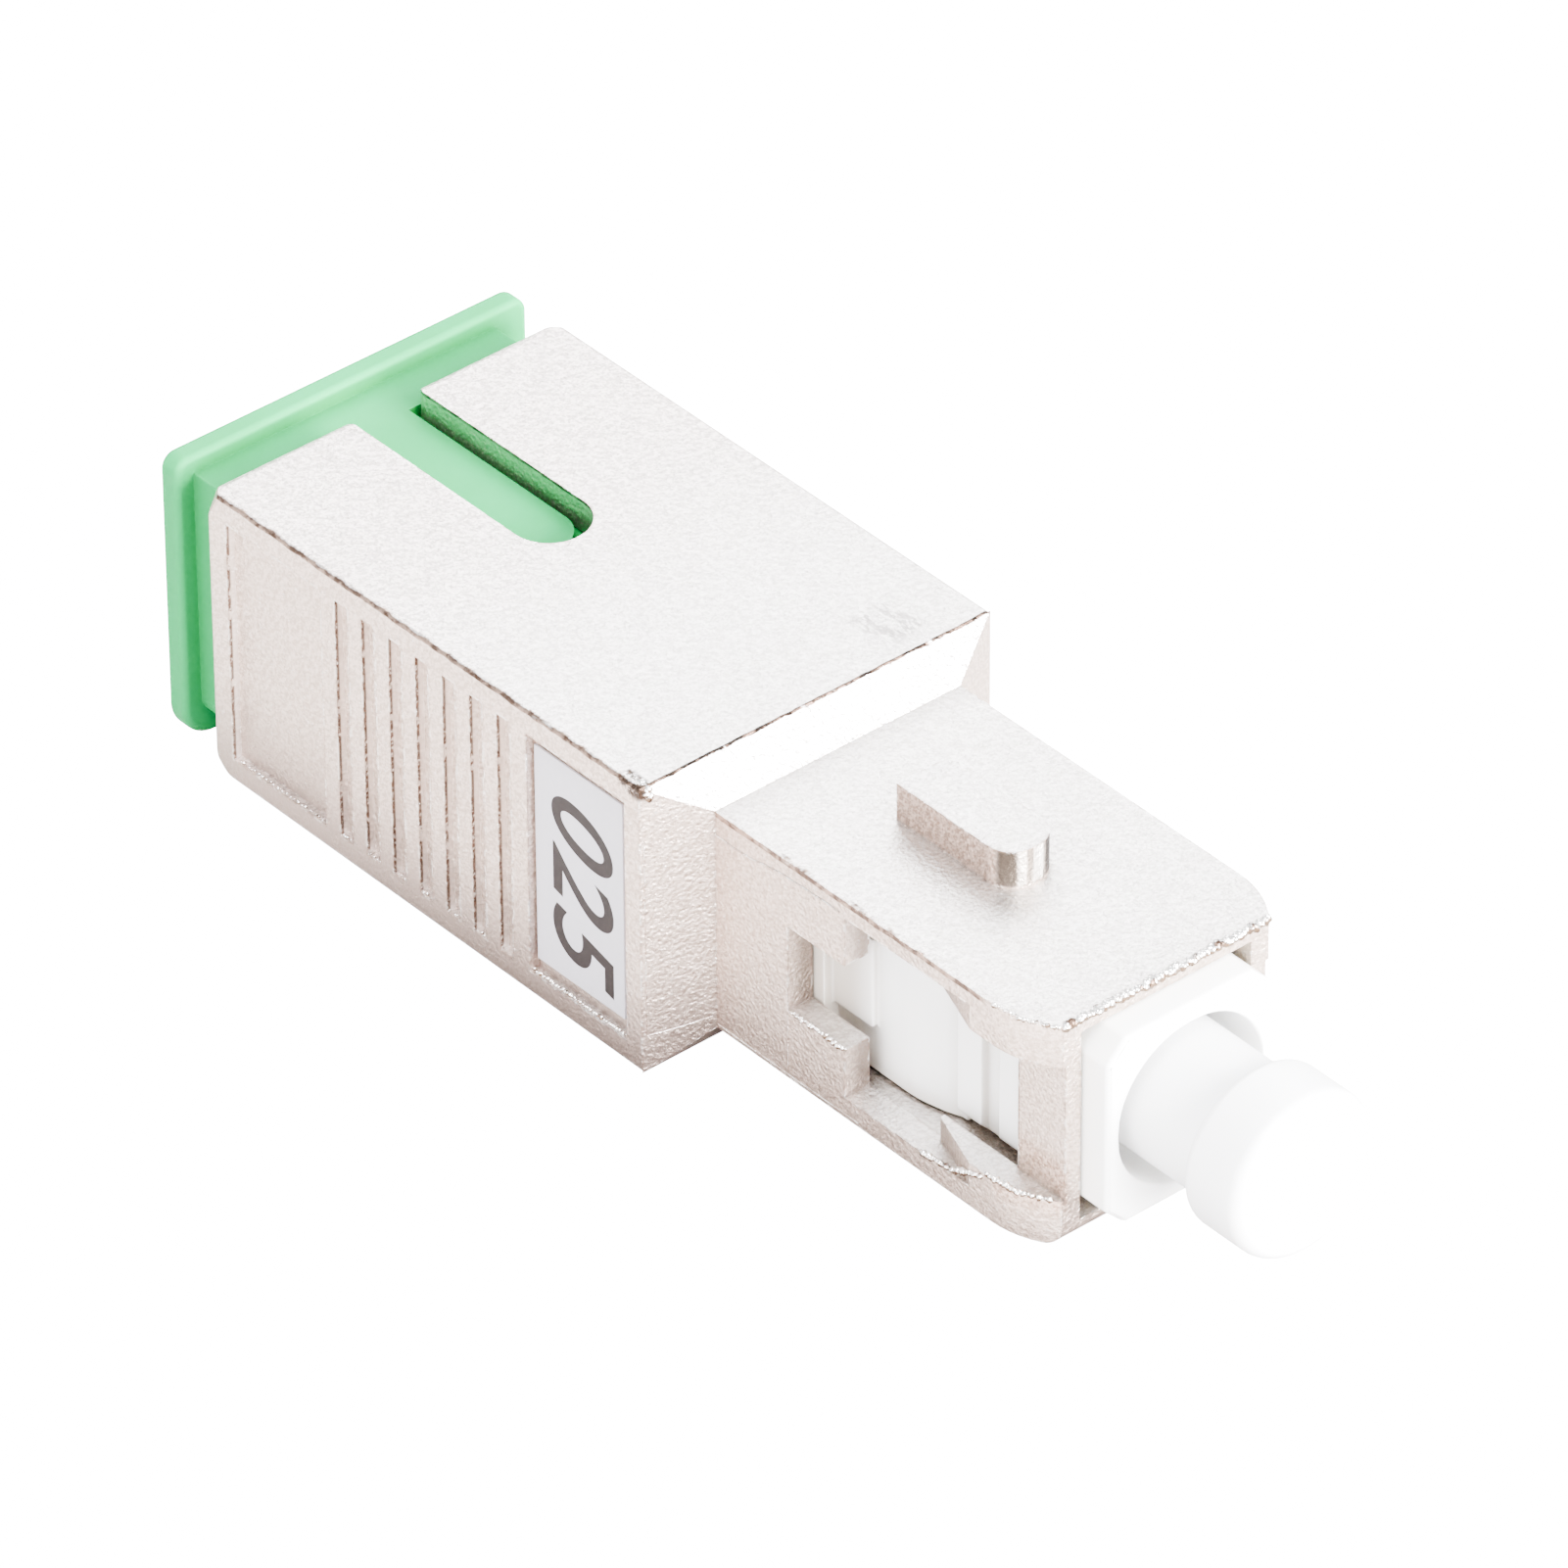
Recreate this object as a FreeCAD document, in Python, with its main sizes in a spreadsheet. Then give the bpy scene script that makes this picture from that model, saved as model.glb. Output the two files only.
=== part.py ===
import FreeCAD, Part
import Sketcher
import os
import re

# Male to female adapter for square push-pull fibre plugs, in millimetres.
# The optical axis is the X axis, +X leaves by the male end and +Z is the key side.
# x = 0 is the front top edge of the large half of the housing.

SMALL = 0.002

os.makedirs("parts", exist_ok=True)
doc = FreeCAD.newDocument("adapter")
sheet = doc.addObject("Spreadsheet::Sheet", "Sheet")

# Sizes that can each be set by itself
SIZES = {
    # port and bore, and the walls around them
    "port_half": 4.55,
    "port_rise": 3.75,
    "port_side_wall": 1.89,
    "port_roof": 1.1,
    "port_base": 1.25,
    "port_floor": 0.3,
    "bore_half": 3.6,
    "bore_rise": 3.22,
    "bore_side_wall": 0.9,
    "bore_roof": 0.48,
    "bore_base": 0.58,
    # housing, large half
    "large_back": 19.12,
    "back_top_round": 0.4,
    "back_foot_round": 1.2,
    "back_side_round": 0.25,
    "back_worn": 0.6,
    "back_worn_deep": 1.0,
    "back_worn_end": 0.1,
    "rim_round": 0.15,
    # housing, slope and small half
    "slope_front": 0.95,
    "small_front": 14.59,
    "nose_long": 2.06,
    "nose_drop": 0.75,
    "nose_foot_round": 0.45,
    "nose_wall": 1.94,
    "nose_lip": 0.5,
    # keyway slot
    "slot_half": 1.25,
    "slot_long": 7.57,
    "slot_lead_long": 0.5,
    "slot_lead_wide": 0.45,
    # side windows and cams
    "window_back_long": 2.4,
    "window_middle_long": 3.15,
    "window_low": 1.45,
    "window_high": 3.1,
    "channel_rise": 2.3,
    "cam_long": 2.05,
    "cam_setback": 1.05,
    "cam_root_wall": 0.14,
    "strip_wall": 0.05,
    # key
    "key_long": 4.67,
    "key_setback": 5.39,
    "key_half": 0.98,
    "key_rise": 1.25,
    "key_root": 0.2,
    "key_front_round": 0.85,
    "key_back_round": 0.5,
    # grip panel
    "panel_back_edge": 0.94,
    "panel_front": 0.65,
    "panel_edge": 0.8,
    "panel_deep": 0.3,
    "nest_long": 4.22,
    "label_nest_long": 4.23,
    "rib_lead": 0.66,
    "rib_pitch": 1.19,
    "rib_floor_wide": 0.34,
    "rib_step_wide": 0.24,
    # label
    "label_back_gap": 0.08,
    "label_front_gap": 0.35,
    "label_edge_gap": 0.4,
    "label_thick": 0.08,
    # dust plug
    "neck_long": 1.58,
    "neck_inset": 0.86,
    "neck_top_drop": 0.75,
    "neck_foot_inset": 0.45,
    "neck_round": 0.8,
    "flange_thick": 0.8,
    "flange_near_inset": 0.24,
    "flange_far_over": 0.36,
    "flange_top_drop": 0.2,
    "flange_foot_over": 0.2,
    "flange_foot_round": 1.1,
    "flange_top_round": 0.5,
    "flange_break": 0.2,
    "plug_gap": 0.1,
    "plug_wall": 0.8,
    "plug_floor_thick": 1.02,
    "plug_clear": 2.2,
    "tongue_gap": 0.2,
    "tongue_short": 0.55,
    "notch_gap": 1.1,
    "notch_clear": 0.35,
    # latch moulding
    "grip_travel": 1.2,
    "slide_gap": 0.05,
    "latch_flange_thick": 1.5,
    "latch_front": 3.4,
    "snap_setback": 0.6,
    "snap_long": 0.45,
    "snap_half": 2.0,
    "snap_over": 0.23,
    "snap_lead": 0.3,
    "snap_end_gap": 0.1,
    "snap_back_gap": 0.15,
    "snap_side_gap": 0.2,
    "snap_top_gap": 0.12,
    "hook_gap": 0.27,
    "hook_thick": 0.78,
    "hook_long": 9.35,
    "hook_head_long": 0.8,
    "hook_catch_deep": 0.75,
    "hook_flat": 0.25,
    "hook_tip_thick": 0.2,
    "hook_break": 0.15,
    "hook_rise": 1.75,
    "barrel_back": 8.6,
    "barrel_wall": 0.67,
    "barrel_lip": 0.3,
    "lip_gap": 0.13,
    # alignment sleeve
    "sleeve_play": 0.1,
    "sleeve_gap": 0.03,
    "sleeve_wall": 0.33,
    "sleeve_slit": 0.45,
    # ferrule and fibre
    "ferrule_round": 1.25,
    "ferrule_back": 2.5,
    "ferrule_out": 3.65,
    "ferrule_gap": 0.02,
    "ferrule_cone": 0.5,
    "ferrule_cone_drop": 0.3,
    "ferrule_face_slant": 0.1405,
    "fibre_round": 0.0625,
    "fibre_gap": 0.01,
    # stop ring, spring and ferrule collar
    "stop_long": 1.0,
    "stop_gap": 0.1,
    "spring_long": 4.2,
    "spring_wire": 0.2,
    "spring_gap": 0.16,
    "spring_turns": 6,
    "collar_long": 2.2,
    "collar_round": 2.24,
    "collar_tail_long": 0.9,
    "collar_tail_wall": 0.25,
    "collar_slot_half": 0.4,
    "collar_slot_deep": 0.4,
    "collar_break": 0.2,
    # plug frame
    "frame_wall": 1.2,
    "counter_deep": 3.65,
    "counter_wall": 0.35,
    "frame_half": 3.0,
    "frame_corner": 0.68,
    "frame_bore_gap": 0.06,
    "frame_skirt_gap": 0.08,
    "frame_lug_long": 1.7,
    "frame_lug_over": 0.2,
    "frame_lug_rise": 1.5,
    "scoop_long": 1.8,
    "scoop_flat": 0.3,
    "scoop_wall": 0.3,
    "ridge_wide": 1.0,
    "groove_wide": 0.7,
    "groove_deep": 0.28,
    "groove_setback": 4.55,
    "face_break": 0.25,
    # dust cap
    "cap_start": 1.3,
    "cap_tube": 2.1,
    "cap_head": 2.6,
    "cap_head_long": 2.35,
    "cap_end_thick": 0.85,
    "cap_end_gap": 0.3,
    "cap_bore_gap": 0.03,
    "cap_edge_back": 0.3,
    "cap_edge_front": 0.5,
    # how far a cutting outline runs past the solid, and how deep joined forms overlap
    "run_out": 1.0,
    "root_in": 0.1,
}

# Places and sizes that follow from those above
PLACES = {
    "large_half": "port_half + port_side_wall",
    "large_top": "port_rise + port_roof",
    "large_foot": "port_rise + port_base",
    "small_half": "bore_half + bore_side_wall",
    "small_top": "bore_rise + bore_roof",
    "small_foot": "bore_rise + bore_base",
    "nose_back": "small_front - nose_long",
    "nose_half": "small_half - nose_drop",
    "nose_wall_back": "small_front - nose_wall",
    "nose_bore_half": "bore_half - nose_lip",
    "slot_tip": "large_back - slot_long",
    "slot_lead_half": "slot_half + slot_lead_wide",
    "cam_front": "nose_wall_back - cam_setback",
    "cam_root_half": "bore_half + cam_root_wall",
    "strip_half": "bore_half + strip_wall",
    "window_front": "cam_front - cam_long",
    "window_step": "window_front - window_middle_long",
    "window_back": "window_step - window_back_long",
    "key_front": "small_front - key_setback",
    "key_back": "key_front - key_long",
    "panel_top": "large_top - panel_edge",
    "panel_foot": "large_foot - panel_edge",
    "panel_back": "large_back - panel_back_edge",
    "panel_plain": "panel_back - nest_long",
    "rib_first": "panel_plain - rib_lead",
    "label_nest_back": "panel_front + label_nest_long",
    "rib_room": "rib_first - rib_floor_wide - rib_step_wide - label_nest_back",
    "rib_count": "floor(rib_room / rib_pitch) + 1",
    "flange_back": "large_back + neck_long + flange_thick",
    "flange_near": "large_half - flange_near_inset",
    "flange_far": "large_half + flange_far_over",
    "flange_top": "large_top - flange_top_drop",
    "flange_foot": "large_foot + flange_foot_over",
    "neck_half": "large_half - neck_inset",
    "neck_top": "large_top - neck_top_drop",
    "neck_foot": "large_foot - neck_foot_inset",
    "plug_half": "port_half - plug_gap",
    "plug_rise": "port_rise - plug_gap",
    "plug_floor": "large_back - plug_floor_thick",
    "plug_front": "barrel_back + plug_clear",
    "tongue_half": "slot_half - tongue_gap",
    "tongue_tip": "slot_tip + tongue_short",
    "latch_flange_front": "port_floor + grip_travel + slide_gap",
    "latch_flange_back": "latch_flange_front + latch_flange_thick",
    "snap_nose": "latch_flange_front + snap_setback",
    "snap_rise": "port_rise + snap_over",
    "snap_slot_front": "snap_nose - grip_travel - snap_end_gap",
    "snap_slot_back": "latch_flange_back + snap_back_gap",
    "snap_slot_half": "snap_half + snap_side_gap",
    "snap_slot_rise": "snap_rise + snap_top_gap",
    "hook_outer": "port_half - hook_gap",
    "hook_inner": "hook_outer - hook_thick",
    "hook_tip": "hook_inner - hook_catch_deep",
    "hook_catch": "latch_flange_back + hook_long",
    "hook_back": "hook_catch + hook_head_long",
    "notch_back": "hook_back + notch_gap",
    "notch_rise": "hook_rise + notch_clear",
    "sleeve_inner": "ferrule_round + ferrule_gap",
    "sleeve_outer": "sleeve_inner + sleeve_wall",
    "sleeve_nest": "sleeve_outer + sleeve_gap",
    "sleeve_back": "barrel_back - barrel_lip - sleeve_play",
    "sleeve_front": "latch_front - 2 * sleeve_play",
    "barrel_round": "sleeve_nest + barrel_wall",
    "lip_round": "ferrule_round + lip_gap",
    "stop_front": "latch_front + stop_long",
    "spring_front": "stop_front + spring_long",
    "collar_front": "spring_front + collar_long",
    "collar_tail": "spring_front - collar_tail_long",
    "collar_tail_round": "ferrule_round + collar_tail_wall",
    "spring_mean": "collar_tail_round + spring_gap + spring_wire",
    "frame_chamber": "collar_round + frame_bore_gap",
    "stop_round": "frame_chamber - stop_gap",
    "frame_rise": "bore_rise - slide_gap",
    "frame_skirt_half": "bore_half - frame_skirt_gap",
    "frame_lug_half": "frame_half + frame_lug_over",
    "frame_lug_front": "stop_front + frame_lug_long",
    "frame_wall_front": "collar_front + frame_wall",
    "frame_front": "frame_wall_front + counter_deep",
    "counter_round": "frame_half - counter_wall",
    "groove_front": "frame_front - groove_setback",
    "groove_half": "frame_half - groove_deep",
    "ridge_front": "groove_front - groove_wide",
    "scoop_front": "ridge_front - ridge_wide",
    "scoop_foot": "scoop_front - scoop_flat",
    "scoop_back": "scoop_foot - scoop_long",
    "scoop_deep": "frame_chamber + scoop_wall",
    "ferrule_front": "frame_front + ferrule_out",
    "cap_back": "frame_wall_front + cap_start",
    "cap_bore": "ferrule_round + cap_bore_gap",
    "cap_bore_front": "ferrule_front + cap_end_gap",
    "cap_front": "cap_bore_front + cap_end_thick",
    "cap_head_back": "cap_front - cap_head_long",
}

for row, (name, size) in enumerate(SIZES.items(), 1):
    sheet.set("A%d" % row, name.replace("_", " "))
    sheet.set("B%d" % row, str(size))
    sheet.setAlias("B%d" % row, name)
doc.recompute()


def ref(words):
    """Words with each named place worked out and each named size turned into its cell."""
    def cell(hit):
        name = hit.group(0)
        return "(" + ref(PLACES[name]) + ")" if name in PLACES else "Sheet." + name
    return re.sub(r"[a-z]+(?:_[a-z]+)+", cell, words)


def new_body(label):
    body = doc.addObject("PartDesign::Body", label)
    body.Label = label
    return body


def new_sketch(body, name, role, level):
    sketch = body.newObject("Sketcher::SketchObject", name)
    base = [f for f in body.Origin.OriginFeatures if f.Role == role][0]
    sketch.AttachmentSupport = [(base, "")]
    sketch.MapMode = "FlatFace"
    sketch.setExpression("AttachmentOffset.Base.z", ref(level))
    return sketch


def tie(sketch, kind, where, size):
    spot = sketch.addConstraint(Sketcher.Constraint(kind, *where, 1.0))
    sketch.setExpression("Constraints[%d]" % spot, ref(size))


def outline(body, name, role, level, loops):
    """Closed loops of named corners; a corner with two more words is reached by an arc
    of that radius, bulging left of the way there when the last word is positive."""
    sketch = new_sketch(body, name, role, level)
    for loop in loops:
        for corner in loop:
            dot = sketch.addGeometry(Part.Point(FreeCAD.Vector(1, 1, 0)), True)
            tie(sketch, "DistanceX", (-1, 1, dot, 1), corner[0])
            tie(sketch, "DistanceY", (-1, 1, dot, 1), corner[1])
    doc.recompute()
    first = 0
    for loop in loops:
        spots = [sketch.getPoint(first + i, 1) for i in range(len(loop))]
        for i, corner in enumerate(loop):
            a, b = spots[i - 1], spots[i]
            dot_a = first + (i - 1) % len(loop)
            ends = (1, 2)
            if len(corner) == 2:
                edge = sketch.addGeometry(Part.LineSegment(a, b), False)
            else:
                left = FreeCAD.Vector(a.y - b.y, b.x - a.x, 0)
                middle = (a + b) * 0.5 + left * (0.2 * corner[3])
                edge = sketch.addGeometry(Part.Arc(a, middle, b), False)
                start = sketch.getPoint(edge, 1)
                if (start - a).Length > (start - b).Length:
                    ends = (2, 1)
            sketch.addConstraint(Sketcher.Constraint("Coincident", edge, ends[0], dot_a, 1))
            sketch.addConstraint(Sketcher.Constraint("Coincident", edge, ends[1], first + i, 1))
            if len(corner) > 2:
                tie(sketch, "Radius", (edge,), corner[2])
        first += len(loop)
    return sketch


def disc(body, name, role, level, spots):
    """Circles given as two named centre distances and a radius."""
    sketch = new_sketch(body, name, role, level)
    for across, up, radius in spots:
        edge = sketch.addGeometry(Part.Circle(FreeCAD.Vector(1, 1, 0), FreeCAD.Vector(0, 0, 1), 1))
        tie(sketch, "DistanceX", (-1, 1, edge, 3), across)
        tie(sketch, "DistanceY", (-1, 1, edge, 3), up)
        tie(sketch, "Radius", (edge,), radius)
    return sketch


def box(a, b, c, d):
    """Corners of an upright rectangle from its left, low, right and high sides."""
    return [(a, b), (c, b), (c, d), (a, d)]


def feature(kind, sketch, length, both=False, back=False):
    """Pad or pocket of a sketch; a plain pocket runs along the plane's normal."""
    body = sketch.getParentGeoFeatureGroup()
    tool = body.newObject("PartDesign::" + kind, sketch.Name + "_" + kind.lower())
    tool.Profile = sketch
    tool.Midplane = both
    tool.Reversed = (kind == "Pocket") != back
    tool.setExpression("Length", ref(length))
    sketch.Visibility = False
    doc.recompute()
    return tool


def pad(sketch, length, both=False, back=False):
    return feature("Pad", sketch, length, both, back)


def cut(sketch, length, both=False, back=False):
    return feature("Pocket", sketch, length, both, back)


def turn(sketch, kind="Revolution"):
    """A sketch on the XY plane turned about the optical axis."""
    body = sketch.getParentGeoFeatureGroup()
    tool = body.newObject("PartDesign::" + kind, sketch.Name + "_turned")
    tool.Profile = sketch
    tool.ReferenceAxis = (sketch, ["H_Axis"])
    tool.Angle = 360
    doc.recompute()
    return tool


def edges(tool, test):
    """Names of a feature's edges whose box passes the test."""
    found = []
    for i, edge in enumerate(tool.Shape.Edges):
        if test(edge.BoundBox):
            found.append("Edge%d" % (i + 1))
    return found


def soften(tool, test, size, kind="Fillet"):
    body = tool.getParentGeoFeatureGroup()
    names = edges(tool, test)
    if not names:
        raise RuntimeError("no edge found to soften on " + tool.Name)
    soft = body.newObject("PartDesign::" + kind, tool.Name + "_soft")
    soft.Base = (tool, names)
    soft.setExpression("Radius" if kind == "Fillet" else "Size", ref(size))
    doc.recompute()
    return soft


def near(a, b):
    return abs(a - b) < SMALL


def section(half, top, foot, corner):
    """Upright section with two rounded lower corners, seen along X."""
    return [
        ("-" + half, "-" + foot + " + " + corner),
        ("-" + half + " + " + corner, "-" + foot, corner, -1),
        (half + " - " + corner, "-" + foot),
        (half, "-" + foot + " + " + corner, corner, -1),
        (half, top),
        ("-" + half, top),
    ]


# Housing, one die casting: large half, slope and small half
housing = new_body("housing")
large = outline(housing, "large_side", "XZ_Plane", "0", [[
    ("0", "-large_foot"),
    ("0", "large_top"),
    ("-large_back + back_top_round", "large_top"),
    ("-large_back", "large_top - back_top_round", "back_top_round", -1),
    ("-large_back", "-large_foot + back_foot_round"),
    ("-large_back + back_foot_round", "-large_foot", "back_foot_round", -1),
]])
pad(large, "2 * large_half", both=True)
wide_end = outline(housing, "slope_back", "YZ_Plane", "0", [
    box("-large_half", "-large_foot", "large_half", "large_top")])
slim_end = outline(housing, "slope_tip", "YZ_Plane", "slope_front", [
    box("-small_half", "-small_foot", "small_half", "small_top")])
slope = housing.newObject("PartDesign::AdditiveLoft", "slope")
slope.Profile = wide_end
slope.Sections = [slim_end]
slope.Ruled = True
doc.recompute()
block = pad(slim_end, "small_front - slope_front")

# nose narrowing in plan, its radius from the two ends of the curve
nose_radius = "(nose_long ^ 2 + nose_drop ^ 2) / (2 * nose_drop)"
for name, s, bulge in (("nose_left", "", 0.8), ("nose_right", "-", -0.8)):
    nose = outline(housing, name, "XY_Plane", "0", [[
        ("small_front", s + "nose_half", nose_radius, bulge),
        ("small_front + run_out", s + "nose_half"),
        ("small_front + run_out", s + "(small_half + run_out)"),
        ("nose_back", s + "(small_half + run_out)"),
        ("nose_back", s + "small_half"),
    ]])
    block = cut(nose, "4 * small_half", both=True)
nose_foot = outline(housing, "nose_foot", "XZ_Plane", "0", [[
    ("small_front", "-small_foot + nose_foot_round", "nose_foot_round", -1),
    ("small_front + run_out", "-small_foot + nose_foot_round"),
    ("small_front + run_out", "-small_foot - run_out"),
    ("small_front - nose_foot_round", "-small_foot - run_out"),
    ("small_front - nose_foot_round", "-small_foot"),
]])
block = cut(nose_foot, "4 * small_half", both=True)

# soft rims along both sides, and the upright corners at the back
rims = []
for s, level, r in (("", "large_top", "rim_round"), ("-", "-large_foot", "-rim_round")):
    for y, bulge in (("", -1), ("-", 1)):
        rims.append([
            (y + "(large_half - rim_round)", level, "rim_round", -bulge if s else bulge),
            (y + "(large_half - rim_round)", "%s + %srun_out" % (level, s)),
            (y + "(large_half + run_out)", "%s + %srun_out" % (level, s)),
            (y + "(large_half + run_out)", "%s - (%s)" % (level, r)),
            (y + "large_half", "%s - (%s)" % (level, r)),
        ])
block = cut(outline(housing, "rims", "YZ_Plane", "-large_back", rims), "large_back")


def back_corner(name, s, level, size, *arc):
    return outline(housing, name, "XY_Plane", level, [[
        ("-large_back", s + "(large_half - %s)" % size, *arc),
        ("-large_back - run_out", s + "(large_half - %s)" % size),
        ("-large_back - run_out", s + "(large_half + run_out)"),
        ("-large_back + " + size, s + "(large_half + run_out)"),
        ("-large_back + " + size, s + "large_half"),
    ]])


for name, s, bulge in (("back_left", "", -1), ("back_right", "-", 1)):
    block = cut(back_corner(name, s, "0", "back_side_round", "back_side_round", bulge),
                "4 * large_foot", both=True)
    worn = housing.newObject("PartDesign::SubtractiveLoft", name + "_worn")
    worn.Profile = back_corner(name + "_top", s, "large_top", "back_worn")
    worn.Sections = [back_corner(name + "_low", s, "large_top - back_worn_deep", "back_worn_end")]
    worn.Ruled = True
    doc.recompute()

# port, bore and the narrower mouth of the nose
port = outline(housing, "port", "YZ_Plane", "-large_back",
               [box("-port_half", "-port_rise", "port_half", "port_rise")])
cut(port, "large_back - port_floor")
bore = outline(housing, "bore", "YZ_Plane", "-port_floor - run_out",
               [box("-bore_half", "-bore_rise", "bore_half", "bore_rise")])
cut(bore, "nose_wall_back + port_floor + run_out")
mouth = outline(housing, "mouth", "YZ_Plane", "nose_wall_back - run_out",
                [box("-nose_bore_half", "-bore_rise", "nose_bore_half", "bore_rise")])
cut(mouth, "nose_wall + 2 * run_out")

# keyway slot with its rounded tip and lead-in corners
slot = outline(housing, "slot", "XY_Plane", "large_top", [[
    ("-large_back - run_out", "slot_lead_half"),
    ("-large_back - run_out", "-slot_lead_half"),
    ("-large_back", "-slot_lead_half"),
    ("-large_back + slot_lead_long", "-slot_half", "slot_lead_long", 1),
    ("-slot_tip", "-slot_half"),
    ("-slot_tip", "slot_half", "slot_half", -2),
    ("-large_back + slot_lead_long", "slot_half"),
    ("-large_back", "slot_lead_half", "slot_lead_long", 1),
]])
cut(slot, "port_roof + run_out", back=True)

# grooves inside that hold the latch moulding and give it its travel
snap = outline(housing, "snap_slots", "XZ_Plane", "0", [
    box("-snap_slot_back", "-snap_slot_rise", "-snap_slot_front", "snap_slot_rise")])
block = cut(snap, "2 * snap_slot_half", both=True)

# side windows: narrow back, wide middle and a channel between the cams
window = outline(housing, "windows", "XZ_Plane", "0", [[
    ("window_back", "-window_low"),
    ("window_step", "-window_low"),
    ("window_step", "-window_high"),
    ("window_front", "-window_high"),
    ("window_front", "-channel_rise"),
    ("nose_wall_back", "-channel_rise"),
    ("nose_wall_back", "channel_rise"),
    ("window_front", "channel_rise"),
    ("window_front", "window_high"),
    ("window_step", "window_high"),
    ("window_step", "window_low"),
    ("window_back", "window_low"),
]])
cut(window, "4 * small_half", both=True)
for name, s in (("cams_left", ""), ("cams_right", "-")):
    cam = outline(housing, name, "XY_Plane", "0", [[
        ("window_front", s + "cam_root_half"),
        ("cam_front", s + "small_half"),
        ("cam_front", s + "(small_half + run_out)"),
        ("window_front", s + "(small_half + run_out)"),
    ]])
    cut(cam, "2 * window_high", both=True)
    strip = outline(housing, "strip" + name[4:], "XY_Plane", "0", [box(
        "nose_wall_back", s + "strip_half", "small_front + run_out", s + "(small_half + run_out)")])
    block = cut(strip, "2 * channel_rise", both=True)

# grip panels: a shallow nest at the back, stepped grooves, and a nest for the label
for name, level, back in (
        ("panel_near", "large_half", True), ("panel_far", "-large_half", False)):
    nests = outline(housing, name, "XZ_Plane", level, [
        box("-panel_back", "-panel_foot", "-panel_plain", "panel_top"),
        box("-label_nest_back", "-panel_foot", "-panel_front", "panel_top"),
    ])
    cut(nests, "panel_deep", back=back)
    deep = outline(housing, name + "_groove", "XZ_Plane", level, [
        box("-rib_first", "-panel_foot", "-rib_first + rib_floor_wide", "panel_top")])
    deep_cut = cut(deep, "panel_deep", back=back)
    step = outline(housing, name + "_step", "XZ_Plane", level, [
        box("-rib_first + rib_floor_wide", "-panel_foot",
            "-rib_first + rib_floor_wide + rib_step_wide", "panel_top")])
    step_cut = cut(step, "panel_deep / 2", back=back)
    row_of = housing.newObject("PartDesign::LinearPattern", name + "_row")
    row_of.Originals = [deep_cut, step_cut]
    row_of.Direction = (deep, ["H_Axis"])
    row_of.Mode = "Spacing"
    row_of.setExpression("Occurrences", ref("rib_count"))
    row_of.setExpression("Offset", ref("rib_pitch"))
    housing.Tip = row_of
    doc.recompute()
    block = row_of

# key with its rounded ends
key = outline(housing, "key", "XY_Plane", "small_top - key_root", [[
    ("key_back", "-key_half"),
    ("key_front - key_front_round", "-key_half"),
    ("key_front", "-key_half + key_front_round", "key_front_round", -1),
    ("key_front", "key_half - key_front_round"),
    ("key_front - key_front_round", "key_half", "key_front_round", -1),
    ("key_back + key_back_round", "key_half"),
    ("key_back", "key_half - key_back_round", "key_back_round", -1),
]])
pad(key, "key_rise + key_root")


def round_piece(label, profile):
    """A piece turned about the optical axis from a half profile given as corners."""
    body = new_body(label)
    shape = turn(outline(body, label + "_profile", "XY_Plane", "0", [profile]))
    return body, shape


# Label, a flat card lying in its nest
label = new_body("label")
card = outline(label, "label_outline", "XZ_Plane", "large_half - panel_deep", [
    box("-label_nest_back + label_back_gap", "-panel_foot + label_edge_gap",
        "-panel_front - label_front_gap", "panel_top - label_edge_gap")])
pad(card, "label_thick")

# Dust plug, a soft moulding with flange, neck, hollow body and keyway tongue
plug = new_body("dust_plug")
flange = outline(plug, "flange", "YZ_Plane", "-flange_back", [[
    ("-flange_near", "-flange_foot + flange_foot_round"),
    ("-flange_near + flange_foot_round", "-flange_foot", "flange_foot_round", -1),
    ("flange_far - flange_foot_round", "-flange_foot"),
    ("flange_far", "-flange_foot + flange_foot_round", "flange_foot_round", -1),
    ("flange_far", "flange_top - flange_top_round"),
    ("flange_far - flange_top_round", "flange_top", "flange_top_round", -1),
    ("-flange_near + flange_top_round", "flange_top"),
    ("-flange_near", "flange_top - flange_top_round", "flange_top_round", -1),
]])
rim = pad(flange, "flange_thick")
top = rim.Shape.BoundBox.ZMax
soften(rim, lambda b: near(b.XMin, b.XMax) and near(b.ZMin, top), "flange_break")
neck = outline(plug, "neck", "YZ_Plane", "-flange_back + flange_thick",
               [section("neck_half", "neck_top", "neck_foot", "neck_round")])
rim = pad(neck, "neck_long")
tongue = outline(plug, "tongue", "XY_Plane", "neck_top", [[
    ("-large_back - root_in", "-tongue_half"),
    ("-tongue_tip", "-tongue_half"),
    ("-tongue_tip", "tongue_half", "tongue_half", -2),
    ("-large_back - root_in", "tongue_half"),
]])
pad(tongue, "neck_top - plug_rise + plug_wall", back=True)
trunk = outline(plug, "trunk", "YZ_Plane", "-large_back - root_in", [
    box("-plug_half", "-plug_rise", "plug_half", "plug_rise")])
pad(trunk, "large_back + root_in - plug_front")
hollow = outline(plug, "hollow", "YZ_Plane", "-plug_floor", [box(
    "-plug_half + plug_wall", "-plug_rise + plug_wall",
    "plug_half - plug_wall", "plug_rise - plug_wall")])
cut(hollow, "plug_floor")
notch = outline(plug, "notches", "XZ_Plane", "0", [
    box("-notch_back", "-notch_rise", "0", "notch_rise")])
cut(notch, "4 * port_half", both=True)

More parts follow.
